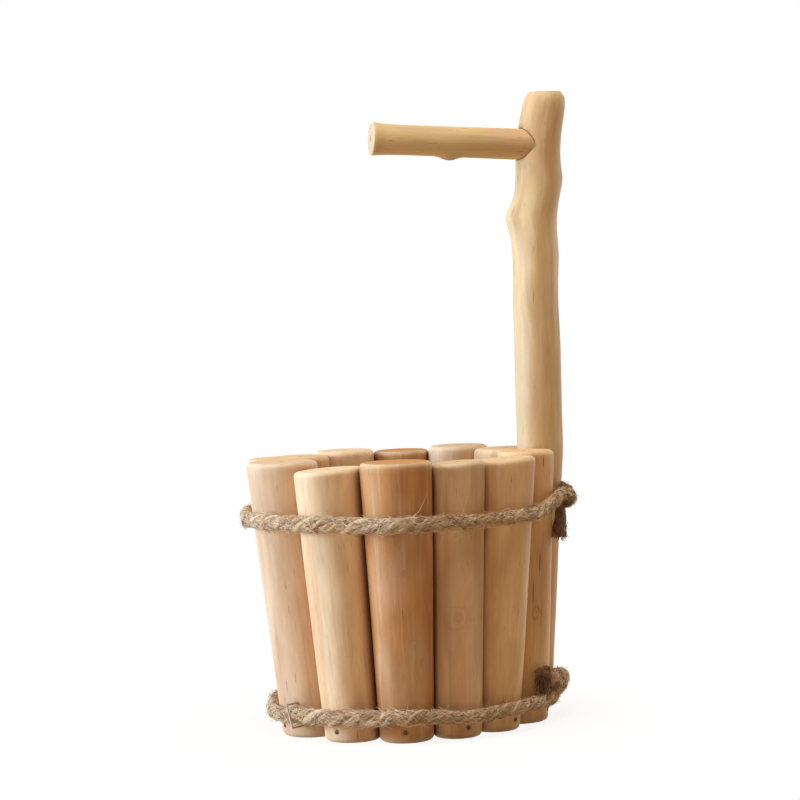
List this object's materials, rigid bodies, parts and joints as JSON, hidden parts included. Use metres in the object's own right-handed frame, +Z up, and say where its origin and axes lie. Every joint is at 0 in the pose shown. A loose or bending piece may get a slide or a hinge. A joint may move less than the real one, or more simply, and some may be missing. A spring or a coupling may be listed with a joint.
{
  "type": "log planter",
  "caption": "Bucket-shaped planter of upright round log staves bound with two ropes, with one long post carrying a peg handle.",
  "frame": {"origin": "on the ground, on the bucket's own axis, at the middle of the base board's underside", "axes": "+Z up along the bucket's axis, -Y the front seen in the picture, +X to the right, where the post stands"},
  "size_m": [0.1837, 0.1787, 0.34],
  "materials": {
    "stave_wood": "bare, debarked and sanded",
    "post_wood": "bare, debarked and sanded",
    "handle_wood": "bare, debarked and sanded",
    "board_wood": "bare, debarked and sanded",
    "jute": "rough laid natural fibre",
    "nail_steel": "dull, slightly rusted",
    "staple_wire": "bright zinc-plated wire"
  },
  "bodies": {
    "root": {"stave_01": "stave_wood", "stave_02": "stave_wood", "stave_03": "stave_wood", "stave_04": "stave_wood", "stave_05": "stave_wood", "stave_06": "stave_wood", "stave_07": "stave_wood", "stave_08": "stave_wood", "stave_09": "stave_wood", "stave_10": "stave_wood", "stave_11": "stave_wood", "stave_12": "stave_wood", "post": "post_wood", "handle": "handle_wood", "base_board": "board_wood", "stave_nails": "nail_steel", "upper_rope": "jute", "lower_rope": "jute", "upper_rope_staples": "staple_wire", "lower_rope_staples": "staple_wire"}
  },
  "joints": []
}
